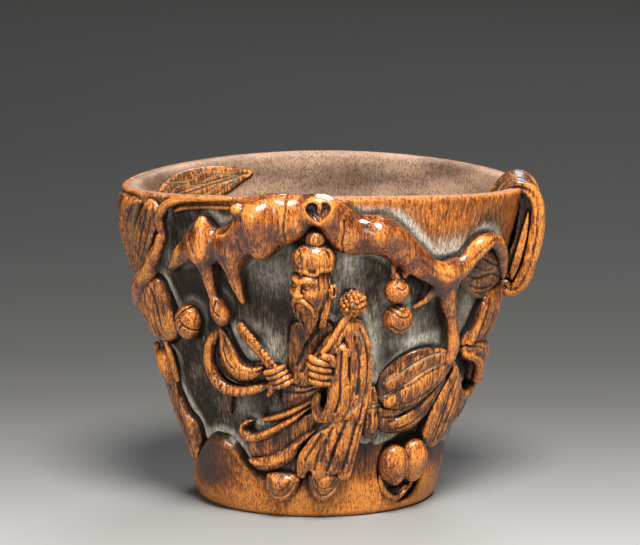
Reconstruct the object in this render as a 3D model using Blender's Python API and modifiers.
"""A carved bamboo libation cup: an oval, tapering cup with an immortal under a gnarled fruiting branch.

The cup stands on its foot at the origin, +Z up, and its front looks along -Y. The relief is laid out as
a carver draws it on the flattened wall: a place is an angle in degrees from the front, positive to the
right, and a row, of which the drawing has DRAWING_ROWS from the foot to the rim. Other sizes in the
drawing are in units of DRAWING_UNIT. Every carved motif is a solid of its own, seated on the wall with
SEAT_GAP between them.
"""

import math
from typing import NamedTuple

import bmesh
import bpy
from mathutils import Matrix, Vector

MM = 0.001

# Cup wall
CUP_HEIGHT = 96 * MM
RIM_HALF_WIDTH = 59.5 * MM
RIM_HALF_DEPTH = 46 * MM
FOOT_HALF_WIDTH = 33 * MM
FOOT_HALF_DEPTH = 29.5 * MM
RIM_LEAN = 1.2 * MM
FOOT_LEAN = -1.2 * MM
WALL_BULGE = 0.26
WALL_THICKNESS = 5 * MM
FLOOR_THICKNESS = 14 * MM
FLOOR_CORNER = 8 * MM
RIM_ROUND = 1.6 * MM
FOOT_ROUND = 1.5 * MM
RIM_SAG = 3 * MM
RIM_SAG_POWER = 8
WALL_SIDES = 56
WALL_RINGS = 6

# Rock ledge round the foot
LEDGE_HEIGHT = 8.5 * MM
LEDGE_DEPTH = 1.6 * MM
LEDGE_ROUND = 0.8 * MM
MOUND_RISE = 14 * MM
MOUND_ANGLE = -43
MOUND_SPREAD = 15

# Leaf handle over the right end of the rim
HANDLE_ANGLE = 90
HANDLE_WIDTH = 24 * MM
HANDLE_THICKNESS = 3 * MM
HANDLE_SHIFT = 1 * MM
HANDLE_STAND_OFF = 4.6 * MM
HANDLE_RISE = 2.6 * MM
HANDLE_INSIDE = 14 * MM
HANDLE_DROP = 31 * MM
HANDLE_STRIPS = 4

# Drawing, seats and facets
DRAWING_ROWS = 96
DRAWING_UNIT = 1 * MM
SEAT_GAP = 0.3 * MM
ROOT_DEPTH = 1.5 * MM
ROUTE_STEPS = 3
TUBE_FACETS = 1
EGG_SEGMENTS = 10
EGG_RINGS = 7
TURNED_SIDES = 12
LEAF_COLUMNS = 4
LEAF_ROWS = 7
LEAF_POINT = 0.08
SMOOTH_ANGLE = 40
WELD = 0.001 * MM


class Tube(NamedTuple):
    """A round limb. Each route point is an angle, a row, how far out of the wall it lies and its radius."""

    name: str
    route: list


class Egg(NamedTuple):
    """A rounded knob with half sizes across in units, up in rows and out in units, turned on the wall."""

    name: str
    angle: float
    row: float
    out: float
    half: tuple
    turn: float = 0.0


class Leaf(NamedTuple):
    """A blade that follows the wall from its root. Turn 0 points up and 90 to the left.

    Its edge stands at out and its middle rises by bow, on the wall's outside unless it is marked inside.
    """

    name: str
    angle: float
    row: float
    out: float
    turn: float
    length: float
    width: float
    bow: float = 1.6
    inside: bool = False


class Gourd(NamedTuple):
    """Two turned bulbs, one on the other, placed by the middle of the waist between them."""

    name: str
    angle: float
    row: float
    out: float
    upper: float
    lower: float
    waist: float
    turn: float = 0.0


BRANCHES = [
    Tube("main_branch", [
        (-55, 72, 0.8, 1.4), (-46, 78, 1.5, 3.0), (-37, 83.5, 2.0, 5.0), (-30, 82, 2.0, 5.4),
        (-23, 85, 2.4, 6.2), (-16, 87.5, 2.6, 6.6), (-9, 88.8, 1.8, 5.8), (-1.5, 89.8, 2.0, 5.8),
        (7, 88.4, 1.8, 5.4), (16, 86.4, 2.4, 5.8), (22, 83.6, 2.2, 5.0), (28, 78.2, 2.2, 3.9),
        (35, 74, 2.4, 3.2), (41.5, 72, 2.4, 3.0),
    ]),
    Tube("curl_branch", [
        (44, 73.5, 1.6, 2.4), (48.5, 79, 1.8, 2.5), (53, 81.8, 2.0, 2.6), (59, 80.5, 2.0, 2.5),
        (66, 75.5, 1.8, 2.3), (71, 69.5, 1.5, 2.0),
    ]),
    Tube("hanging_stem", [
        (42.3, 68.6, 1.6, 2.5), (44.5, 63, 1.5, 2.3), (47.5, 56.5, 1.5, 2.1), (49.2, 49.6, 1.4, 1.9),
    ]),
    Tube("rim_twig", [
        (-53.5, 83.5, 1.2, 1.8), (-51.5, 89.5, 1.3, 1.8), (-46, 93.2, 1.2, 1.7), (-36, 94, 1.0, 1.5),
        (-27, 94.2, 0.8, 1.3),
    ]),
    Tube("left_stub", [(-35, 77.5, 1.6, 2.5), (-35, 71, 1.4, 1.9), (-33.8, 66, 1.2, 1.8)]),
    Tube("pointed_stub", [(-27, 78, 1.6, 2.8), (-26, 72, 1.4, 2.0), (-24.7, 65.5, 0.6, 0.9)]),
    Tube("gourd_twig", [(39.5, 68.6, 1.1, 1.5), (36, 67.2, 1.0, 1.4), (32.5, 63.6, 0.8, 1.2)]),
    Tube("left_stem", [
        (-54, 80.5, 1.6, 2.2), (-59, 73.5, 2.4, 3.0), (-68, 67, 3.0, 3.6), (-80, 59, 2.8, 3.6),
    ]),
    Tube("back_branch", [
        (-92, 50, 1.6, 2.2), (-104, 58.5, 1.8, 3.2), (-120, 68, 2.0, 4.4), (-140, 75, 2.2, 5.2),
        (-160, 80, 2.2, 5.4), (-180, 82, 2.2, 5.0), (-202, 79, 2.2, 4.4), (-222, 71, 2.0, 3.6),
        (-240, 60, 1.6, 2.4),
    ]),
    Tube("back_twig", [(-163, 72.5, 1.4, 2.4), (-166, 63, 1.4, 2.1), (-172, 53, 1.2, 1.7)]),
    Egg("stub_bud", -32.6, 62.2, 1.6, (2.8, 4.2, 2.8), 12),
    Egg("branch_knot", -1.4, 92.2, 6.0, (4.2, 4.2, 2.2)),
    Egg("knot_bud", -22.5, 92.6, 6.2, (2.4, 2.2, 2.4)),
]

FIGURE = [
    Tube("robe_body", [
        (8.0, 61.5, -1.6, 5.2), (10, 53, -1.6, 7.8), (10.2, 43, -1.6, 8.6), (8.6, 32, -1.8, 9.4),
        (5.0, 22, -2.0, 9.8), (3.4, 14, -2.0, 9.4),
    ]),
    Tube("robe_chest", [
        (-4.5, 60, -2.6, 5.0), (-6, 51, -2.8, 6.8), (-6, 42, -3.0, 7.4), (-5, 34, -3.0, 6.8),
    ]),
    Tube("robe_skirt", [(-22, 21.6, -1.6, 5.0), (-14, 23, -1.6, 6.2), (-7, 26.5, -1.6, 6.8)]),
    Tube("upper_hem", [
        (-28.5, 26, 1.6, 2.7), (-20, 26.6, 2.0, 3.2), (-11, 30.2, 2.2, 3.4), (-4, 34, 2.0, 3.2),
    ]),
    Tube("lower_hem", [
        (-28, 17.6, 1.4, 2.5), (-20.5, 16.4, 1.8, 3.0), (-12.5, 18.6, 2.2, 3.4), (-7, 21.4, 2.4, 3.4),
    ]),
    Egg("head", -3.0, 70.4, 2.0, (5.4, 6.6, 5.4)),
    Egg("cap", -2.3, 78.2, 2.0, (6.2, 4.4, 5.6)),
    Egg("cap_knob", -1.9, 83.6, 3.2, (2.9, 2.8, 2.9)),
    Egg("beard", -3.4, 61, 3.8, (3.8, 7.2, 2.6)),
    Tube("hanging_sleeve", [
        (4.4, 54, 5.4, 2.8), (5.4, 47, 5.6, 3.7), (4.8, 40, 5.4, 3.9), (2.4, 34, 4.6, 3.2),
    ]),
    Egg("right_fist", 0.4, 47.6, 5.6, (3.5, 4.8, 3.0), 8),
    Tube("sceptre_stem", [(7.8, 62.4, 4.2, 1.2), (4.8, 58, 5.2, 1.2), (1.8, 53.2, 5.6, 1.2)]),
    Egg("sceptre_head", 9.5, 65.8, 2.6, (3.8, 3.8, 3.6)),
    Tube("sleeve_loop", [
        (-32, 57, 1.2, 1.9), (-36.8, 52, 1.5, 2.3), (-38.6, 46.5, 1.7, 2.5), (-37, 41.5, 1.7, 2.6),
        (-32, 38.6, 1.7, 2.5), (-25, 38.4, 1.6, 2.3), (-18.5, 39.6, 1.5, 2.0),
    ]),
    Tube("sleeve_fold", [
        (-31.2, 54, 1.0, 1.8), (-30.6, 48.5, 1.3, 2.3), (-27.2, 44.8, 1.5, 2.5), (-22.5, 44.6, 1.4, 2.2),
    ]),
    Tube("raised_arm", [(-25.6, 58, 0.8, 1.5), (-21.5, 53.4, 1.1, 1.8), (-16.6, 48.4, 1.3, 2.0)]),
    Egg("left_fist", -13.4, 43.4, 2.2, (3.0, 3.9, 3.0), 20),
    Egg("shoe_left", -14.2, 10.2, 2.6, (4.9, 4.7, 4.6)),
    Egg("shoe_right", 3.1, 9.8, 3.4, (5.1, 4.7, 4.6)),
    Gourd("waist_gourd", 19.6, 32.4, 1.2, 2.1, 2.7, 1.2, 4),
]

LEAVES = [
    Leaf("broad_leaf", 48.4, 46.8, 2.0, 108, 24, 13.5, 2.4),
    Leaf("folded_leaf", 51.5, 39.5, 1.4, 122, 25, 10),
    Leaf("narrow_leaf", 53.6, 43.6, 2.2, 176, 24, 9.5, 2.0),
    Leaf("curl_leaf", 59.5, 77.5, 1.2, 190, 13.5, 13, 1.2),
    Leaf("fungus_leaf", 72, 43, 2.6, 186, 20, 10, 2.4),
    Tube("peach_leaf", [
        (30, 10.6, 1.6, 1.3), (32.5, 7, 2.2, 1.6), (37, 5.4, 2.2, 1.6), (42.5, 6.4, 2.0, 1.4),
    ]),
    Leaf("left_long_leaf", -57, 93, 2.4, 160, 31, 11, 2.4),
    Leaf("left_side_leaf", -86, 92, 2.4, 176, 28, 14, 2.0),
    Leaf("left_low_leaf", -77, 65, 3.4, 205, 20, 16, 3.0),
    Leaf("left_blade", -82, 42, 2.6, 196, 29, 9, 2.0),
    Leaf("rim_leaf", -104, 89.5, 1.4, 84, 44, 13, 0.8, inside=True),
    Leaf("back_leaf_left", -146, 66, 1.6, 205, 30, 13),
    Leaf("back_leaf_middle", -173, 51, 1.6, 150, 30, 14),
    Leaf("back_leaf_right", -217, 66, 1.6, 168, 32, 13),
]

FRUITS = [
    Gourd("hanging_gourd", 23.4, 65.2, 1.8, 3.6, 4.6, 1.9, -10),
    Egg("fungus_cap", 71, 55.5, 2.0, (4.6, 6.2, 4.0), 12),
    Egg("fungus_fold", 72, 45.4, 2.6, (5.4, 5.2, 5.2), -20),
    Egg("peach_left", 33.2, 15.2, 1.6, (3.3, 4.8, 3.2), 6),
    Egg("peach_right", 45.6, 15.4, 1.6, (3.2, 5.0, 3.2), -8),
    Egg("left_bud", -46.8, 58, 1.8, (4.3, 4.7, 4.0), -10),
    Egg("left_pod", -68, 42.6, 1.6, (3.2, 5.0, 3.8), 8),
    Egg("back_peach_left", -117, 54.5, 2.2, (6.6, 7.4, 4.8)),
    Egg("back_peach_right", -194, 60, 2.2, (7.0, 7.8, 5.0), 6),
]

# Colour and roughness of the bamboo where each kind of motif is carved
WOODS = {
    "ground": ((0.11, 0.062, 0.034), 0.50),
    "rock": ((0.26, 0.12, 0.045), 0.50),
    "branch": ((0.36, 0.13, 0.035), 0.36),
    "robe": ((0.30, 0.11, 0.035), 0.42),
    "leaf": ((0.27, 0.105, 0.035), 0.42),
    "fruit": ((0.46, 0.19, 0.04), 0.36),
}


def opening_share(height):
    """How far the wall has opened out at a height: 0 at the foot and 1 at the rim."""
    share = height / CUP_HEIGHT
    return share * (1 + WALL_BULGE * (1 - share))


def half_width(height):
    return FOOT_HALF_WIDTH + (RIM_HALF_WIDTH - FOOT_HALF_WIDTH) * opening_share(height)


def half_depth(height):
    return FOOT_HALF_DEPTH + (RIM_HALF_DEPTH - FOOT_HALF_DEPTH) * opening_share(height)


def lean(height):
    return FOOT_LEAN + (RIM_LEAN - FOOT_LEAN) * height / CUP_HEIGHT


def rim_drop(angle, height):
    """How far the two ends of the oval rim sag below its front, fading out down the wall."""
    return RIM_SAG * math.sin(math.radians(angle)) ** 2 * (height / CUP_HEIGHT) ** RIM_SAG_POWER


def skin(angle, height):
    turn = math.radians(angle)
    return Vector((
        lean(height) + half_width(height) * math.sin(turn),
        -half_depth(height) * math.cos(turn),
        height - rim_drop(angle, height),
    ))


def wall_frame(angle, height, out=0.0):
    """Axes on the wall's outside: X round it to the right, Y up it and Z out of it."""
    step = 0.5
    rise = row_height(step)
    across = (skin(angle + step, height) - skin(angle - step, height)).normalized()
    up = skin(angle, height + rise) - skin(angle, height - rise)
    normal = across.cross(up).normalized()
    up = normal.cross(across)
    frame = Matrix((across, up, normal)).transposed().to_4x4()
    frame.translation = skin(angle, height) + normal * out
    return frame


def row_height(row):
    return row * CUP_HEIGHT / DRAWING_ROWS


def wall_point(angle, row, out):
    return wall_frame(angle, row_height(row), out * DRAWING_UNIT).translation


def degree_length(angle, height):
    """Metres round the wall for one degree of the drawing."""
    return (skin(angle + 0.5, height) - skin(angle - 0.5, height)).length


def clear_scene():
    for obj in list(bpy.data.objects):
        bpy.data.objects.remove(obj)


def new_collection(name):
    collection = bpy.data.collections.new(name)
    bpy.context.scene.collection.children.link(collection)
    return collection


def bamboo(name, wood):
    """A piece's own bamboo, with the colour and roughness of its kind of motif."""
    colour, roughness = WOODS[wood]
    material = bpy.data.materials.new(name + "_bamboo")
    material.use_nodes = True
    shader = material.node_tree.nodes["Principled BSDF"]
    shader.inputs["Base Color"].default_value = (*colour, 1.0)
    shader.inputs["Roughness"].default_value = roughness
    shader.inputs["Metallic"].default_value = 0.0
    return material


def new_object(name, data):
    obj = bpy.data.objects.new(name, data)
    bpy.context.scene.collection.objects.link(obj)
    return obj


def settle(obj):
    """Turns an object with modifiers, or a curve, into a plain welded mesh in world space."""
    bpy.context.view_layer.update()
    graph = bpy.context.evaluated_depsgraph_get()
    mesh = bpy.data.meshes.new_from_object(obj.evaluated_get(graph))
    mesh.transform(obj.matrix_world)
    shape = bmesh.new()
    shape.from_mesh(mesh)
    bmesh.ops.remove_doubles(shape, verts=shape.verts, dist=WELD)
    if shape.calc_volume(signed=True) < 0:
        bmesh.ops.reverse_faces(shape, faces=shape.faces)
    shape.to_mesh(mesh)
    shape.free()
    name = obj.name
    bpy.data.objects.remove(obj)
    return new_object(name, mesh)


def turned(name, profile, sides):
    """A closed turned shape about Z from profile points of radius and height, the outer side going down."""
    mesh = bpy.data.meshes.new(name)
    points = [(radius, 0.0, height) for radius, height in profile]
    mesh.from_pydata(points, [(i, i + 1) for i in range(len(points) - 1)], [])
    obj = new_object(name, mesh)
    screw = obj.modifiers.new("turn", "SCREW")
    screw.steps = sides
    screw.render_steps = sides
    screw.use_merge_vertices = True
    screw.merge_threshold = WELD
    return settle(obj)


def make_oval(name, profile):
    """A turned shape on the wall's half width, drawn in to the oval's depth and given its lean and sag."""
    cup = turned(name, profile, WALL_SIDES)
    for vertex in cup.data.vertices:
        x, y, height = vertex.co
        inward = min(half_width(height) - math.hypot(x, y), WALL_THICKNESS)
        squeeze = (half_depth(height) - inward) / (half_width(height) - inward)
        angle = math.degrees(math.atan2(x, -y))
        vertex.co = (lean(height) + x, y * squeeze, height - rim_drop(angle, height))
    return cup


def outer_profile():
    drops = [CUP_HEIGHT - RIM_ROUND - (CUP_HEIGHT - RIM_ROUND - FOOT_ROUND) * ring / WALL_RINGS
             for ring in range(WALL_RINGS + 1)]
    profile = [(half_width(CUP_HEIGHT) - RIM_ROUND, CUP_HEIGHT)]
    profile += [(half_width(height), height) for height in drops]
    return profile + [(half_width(0) - FOOT_ROUND, 0.0), (0.0, 0.0)]


def make_cup_body():
    floor_edge = half_width(FLOOR_THICKNESS) - WALL_THICKNESS - FLOOR_CORNER
    lowest = FLOOR_THICKNESS + FLOOR_CORNER
    rises = [lowest + (CUP_HEIGHT - RIM_ROUND - lowest) * ring / WALL_RINGS for ring in range(WALL_RINGS + 1)]
    profile = [(0.0, FLOOR_THICKNESS), (floor_edge, FLOOR_THICKNESS)]
    profile += [(half_width(height) - WALL_THICKNESS, height) for height in rises]
    profile += [(half_width(CUP_HEIGHT) - WALL_THICKNESS + RIM_ROUND, CUP_HEIGHT)]
    return make_oval("cup_body", profile + outer_profile())


def make_cup_core():
    """The cup without its hollow, which cuts the seats of the motifs on the outside."""
    return make_oval("cup_core", [(0.0, CUP_HEIGHT)] + outer_profile())


def make_rock_ledge():
    """A low band of rock round the foot, with one mound that climbs the wall on the left of the front."""
    inner, outer = half_width(0), half_width(0) + LEDGE_DEPTH
    profile = [
        (inner - LEDGE_DEPTH, LEDGE_HEIGHT), (inner, LEDGE_HEIGHT),
        (outer - LEDGE_ROUND, LEDGE_HEIGHT - LEDGE_ROUND), (outer, LEDGE_HEIGHT / 2),
        (outer, FOOT_ROUND), (outer - LEDGE_ROUND, 0.0),
        (inner - LEDGE_DEPTH, 0.0), (inner - LEDGE_DEPTH, LEDGE_HEIGHT),
    ]
    ledge = turned("rock_ledge", profile, WALL_SIDES)
    for vertex in ledge.data.vertices:
        x, y, height = vertex.co
        angle = math.degrees(math.atan2(x, -y))
        climb = MOUND_RISE * math.exp(-((angle - MOUND_ANGLE) / MOUND_SPREAD) ** 2)
        height *= 1 + climb / LEDGE_HEIGHT
        vertex.co = wall_frame(angle, height, math.hypot(x, y) - inner).translation
        vertex.co.z = height
    return ledge


def new_route(name, points):
    """A smooth curve object through world points, each with its radius."""
    curve = bpy.data.curves.new(name, "CURVE")
    curve.dimensions = "3D"
    curve.resolution_u = ROUTE_STEPS
    spline = curve.splines.new("BEZIER")
    spline.bezier_points.add(len(points) - 1)
    for knot, (place, radius) in zip(spline.bezier_points, points):
        knot.co = place
        knot.radius = radius
        knot.handle_left_type = "AUTO"
        knot.handle_right_type = "AUTO"
    return new_object(name, curve)


def make_handle_leaf():
    """A thick leaf that comes up inside the right end, rolls over the rim and curls back to the wall."""
    half = HANDLE_THICKNESS / 2
    rim = skin(HANDLE_ANGLE, CUP_HEIGHT)
    inside = skin(HANDLE_ANGLE, rim.z - HANDLE_INSIDE) - Vector((WALL_THICKNESS + SEAT_GAP + half, 0.0, 0.0))
    foot = skin(HANDLE_ANGLE, rim.z - HANDLE_DROP)
    crest = rim.z + SEAT_GAP + HANDLE_RISE - half
    reach = rim.x + HANDLE_STAND_OFF - half
    middle = (reach + foot.x + HANDLE_STAND_OFF) / 2
    route = [
        inside,
        Vector((rim.x - WALL_THICKNESS - half, 0.0, rim.z - half)),
        Vector((rim.x - WALL_THICKNESS / 2, 0.0, crest)),
        Vector((rim.x + half, 0.0, crest - half)),
        Vector((reach, 0.0, rim.z - HANDLE_INSIDE / 2)),
        Vector((reach - half / 2, 0.0, rim.z - HANDLE_INSIDE)),
        Vector((middle, 0.0, rim.z - (HANDLE_DROP + HANDLE_INSIDE) / 2)),
        Vector((foot.x + HANDLE_STAND_OFF + half, 0.0, foot.z + HANDLE_THICKNESS)),
        Vector((foot.x + HANDLE_THICKNESS, 0.0, foot.z)),
        Vector((foot.x, 0.0, foot.z + half)),
    ]
    guide = settle(new_route("handle_guide", [(point, 1.0) for point in route]))
    shape = bmesh.new()
    shape.from_mesh(guide.data)
    bpy.data.objects.remove(guide)
    bmesh.ops.translate(shape, verts=shape.verts, vec=(0.0, HANDLE_SHIFT - HANDLE_WIDTH / 2, 0.0))
    rail = list(shape.edges)
    for _ in range(HANDLE_STRIPS):
        grown = bmesh.ops.extrude_edge_only(shape, edges=rail)["geom"]
        moved = [item for item in grown if isinstance(item, bmesh.types.BMVert)]
        edges = [item for item in grown if isinstance(item, bmesh.types.BMEdge)]
        rail = [edge for edge in edges if all(vertex in moved for vertex in edge.verts)]
        bmesh.ops.translate(shape, verts=moved, vec=(0.0, HANDLE_WIDTH / HANDLE_STRIPS, 0.0))
    bmesh.ops.recalc_face_normals(shape, faces=shape.faces)
    mesh = bpy.data.meshes.new("handle_leaf")
    shape.to_mesh(mesh)
    shape.free()
    handle = new_object("handle_leaf", mesh)
    thicken = handle.modifiers.new("thickness", "SOLIDIFY")
    thicken.thickness = HANDLE_THICKNESS
    thicken.offset = 0.0
    return settle(handle)


def make_tube(spec):
    points = [(wall_point(angle, row, out), radius) for angle, row, out, radius in spec.route]
    tube = new_route(spec.name, points)
    tube.data.bevel_depth = DRAWING_UNIT
    tube.data.bevel_resolution = TUBE_FACETS
    tube.data.use_fill_caps = True
    return settle(tube)


def make_egg(spec):
    mesh = bpy.data.meshes.new(spec.name)
    shape = bmesh.new()
    bmesh.ops.create_uvsphere(shape, u_segments=EGG_SEGMENTS, v_segments=EGG_RINGS, radius=1.0)
    upright = Matrix.Rotation(math.radians(-90), 4, "X")
    across, up, out = spec.half
    size = (across * DRAWING_UNIT, row_height(up), out * DRAWING_UNIT, 1.0)
    bmesh.ops.transform(shape, matrix=Matrix.Diagonal(size) @ upright, verts=shape.verts)
    shape.to_mesh(mesh)
    shape.free()
    egg = new_object(spec.name, mesh)
    frame = wall_frame(spec.angle, row_height(spec.row), spec.out * DRAWING_UNIT)
    egg.matrix_world = frame @ Matrix.Rotation(math.radians(spec.turn), 4, "Z")
    return settle(egg)


def make_gourd(spec):
    """Two balls joined by a waist, turned about Z and then stood up along the wall."""
    def ball(radius, centre, first, last, steps=5):
        angles = [math.radians(first + (last - first) * i / steps) for i in range(steps + 1)]
        return [(radius * math.sin(a) * DRAWING_UNIT, (centre + radius * math.cos(a)) * DRAWING_UNIT)
                for a in angles]

    upper_end = 180 - math.degrees(math.asin(spec.waist / spec.upper))
    lower_start = math.degrees(math.asin(spec.waist / spec.lower))
    upper_centre = spec.upper * -math.cos(math.radians(upper_end))
    lower_centre = -spec.lower * math.cos(math.radians(lower_start))
    profile = ball(spec.upper, upper_centre, 0, upper_end)[:-1]
    profile += ball(spec.lower, lower_centre, lower_start, 180)
    gourd = turned(spec.name, profile, TURNED_SIDES)
    upright = Matrix.Rotation(math.radians(-90), 4, "X")
    frame = wall_frame(spec.angle, row_height(spec.row), spec.out * DRAWING_UNIT)
    gourd.matrix_world = frame @ Matrix.Rotation(math.radians(spec.turn), 4, "Z") @ upright
    return settle(gourd)


def make_leaf(spec):
    """A slab drawn in to a pointed blade and laid on the wall, with its middle raised."""
    shape = bmesh.new()
    bmesh.ops.create_grid(shape, x_segments=LEAF_COLUMNS, y_segments=LEAF_ROWS, size=1.0)
    grown = bmesh.ops.extrude_face_region(shape, geom=shape.faces)["geom"]
    front = [item for item in grown if isinstance(item, bmesh.types.BMVert)]
    bmesh.ops.translate(shape, verts=front, vec=(0.0, 0.0, 1.0))
    height = row_height(spec.row)
    turn = math.radians(spec.turn)
    for vertex in shape.verts:
        side, along, is_front = vertex.co.x, (vertex.co.y + 1) / 2, vertex.co.z > 0.5
        half = spec.width * DRAWING_UNIT / 2 * max(math.sin(math.pi * along), LEAF_POINT)
        across, ahead = side * half, along * spec.length * DRAWING_UNIT
        right = across * math.cos(turn) - ahead * math.sin(turn)
        up = across * math.sin(turn) + ahead * math.cos(turn)
        lift = (spec.out + spec.bow * math.sin(math.pi * along) * (1 - side * side)) * DRAWING_UNIT
        out = lift if is_front else -ROOT_DEPTH
        angle = spec.angle + right / degree_length(spec.angle, height + up / 2)
        vertex.co = wall_frame(angle, height + up, -WALL_THICKNESS - out if spec.inside else out).translation
    bmesh.ops.recalc_face_normals(shape, faces=shape.faces)
    mesh = bpy.data.meshes.new(spec.name)
    shape.to_mesh(mesh)
    shape.free()
    return settle(new_object(spec.name, mesh))


MAKERS = {Tube: make_tube, Egg: make_egg, Gourd: make_gourd, Leaf: make_leaf}


def grown_copy(obj, cutters):
    """A hidden copy of a solid, swollen by the seat gap, that cuts the seats of the pieces on it."""
    copy = new_object(obj.name + "_seat", obj.data.copy())
    copy.hide_render = True
    copy.display_type = "WIRE"
    swell = copy.modifiers.new("seat gap", "DISPLACE")
    swell.strength = SEAT_GAP
    swell.mid_level = 0.0
    move_to(copy, cutters)
    return copy


def move_to(obj, collection):
    for old in list(obj.users_collection):
        old.objects.unlink(obj)
    collection.objects.link(obj)


def corners(obj):
    points = [vertex.co for vertex in obj.data.vertices]
    low = Vector([min(point[axis] for point in points) for axis in range(3)])
    high = Vector([max(point[axis] for point in points) for axis in range(3)])
    return low, high


def boxes_meet(first, second):
    return all(first[0][axis] < second[1][axis] + SEAT_GAP and second[0][axis] < first[1][axis] + SEAT_GAP
               for axis in range(3))


def drop_crumbs(obj):
    """Keeps the largest closed body of a cut piece, without the crumbs a seat may cut off it."""
    shape = bmesh.new()
    shape.from_mesh(obj.data)
    left = set(shape.verts)
    bodies = []
    while left:
        front = [left.pop()]
        body = set(front)
        while front:
            for edge in front.pop().link_edges:
                for vertex in edge.verts:
                    if vertex in left:
                        left.remove(vertex)
                        body.add(vertex)
                        front.append(vertex)
        bodies.append(body)

    def area(body):
        return sum(face.calc_area() for face in {face for vertex in body for face in vertex.link_faces})

    largest = max(bodies, key=area)
    crumbs = [vertex for body in bodies if body is not largest for vertex in body]
    bmesh.ops.delete(shape, geom=crumbs, context="VERTS")
    shape.to_mesh(obj.data)
    shape.free()


def seat(obj, seats):
    """Cuts a motif back from the wall and from the earlier motifs that it would run into."""
    box = corners(obj)
    for cutter, cutter_box in seats:
        if not boxes_meet(box, cutter_box):
            continue
        cut = obj.modifiers.new("seat", "BOOLEAN")
        cut.operation = "DIFFERENCE"
        cut.object = cutter
        obj = settle(obj)
    drop_crumbs(obj)
    return obj


def home_frame(spec):
    """Where a motif's own origin sits: on the wall, at its place or at the start of its route."""
    if isinstance(spec, Tube):
        angle, row, out, _ = spec.route[0]
    else:
        angle, row, out = spec.angle, spec.row, spec.out
    return wall_frame(angle, row_height(row), out * DRAWING_UNIT)


def finish(obj, home, wood, base):
    """Moves a piece's origin to its home, hangs it on the base and gives it its bamboo."""
    obj.data.transform(home.inverted())
    obj.parent = base
    obj.matrix_world = home
    obj.data.materials.clear()
    obj.data.materials.append(bamboo(obj.name, wood))
    obj.data.shade_smooth()
    obj.data.set_sharp_from_angle(angle=math.radians(SMOOTH_ANGLE))
    move_to(obj, base.users_collection[0])


def main():
    clear_scene()
    cup = new_collection("libation_cup")
    cutters = new_collection("seat_cutters")
    base = new_object("cup_base", None)
    move_to(base, cup)

    core = make_cup_core()
    core_seat = grown_copy(core, cutters)
    bpy.data.objects.remove(core)
    body = make_cup_body()
    body_seat = grown_copy(body, cutters)
    finish(body, Matrix.Identity(4), "ground", base)

    seats = []

    def add(raw, home, wood, wall_seat=core_seat):
        swollen = grown_copy(raw, cutters)
        piece = seat(raw, [(wall_seat, corners(wall_seat))] + seats)
        seats.append((swollen, corners(swollen)))
        finish(piece, home, wood, base)

    add(make_rock_ledge(), Matrix.Identity(4), "rock")
    add(make_handle_leaf(), wall_frame(HANDLE_ANGLE, CUP_HEIGHT), "leaf", body_seat)
    for wood, motifs in (("branch", BRANCHES), ("robe", FIGURE), ("leaf", LEAVES), ("fruit", FRUITS)):
        for spec in motifs:
            wall_seat = body_seat if getattr(spec, "inside", False) else core_seat
            add(MAKERS[type(spec)](spec), home_frame(spec), wood, wall_seat)


main()
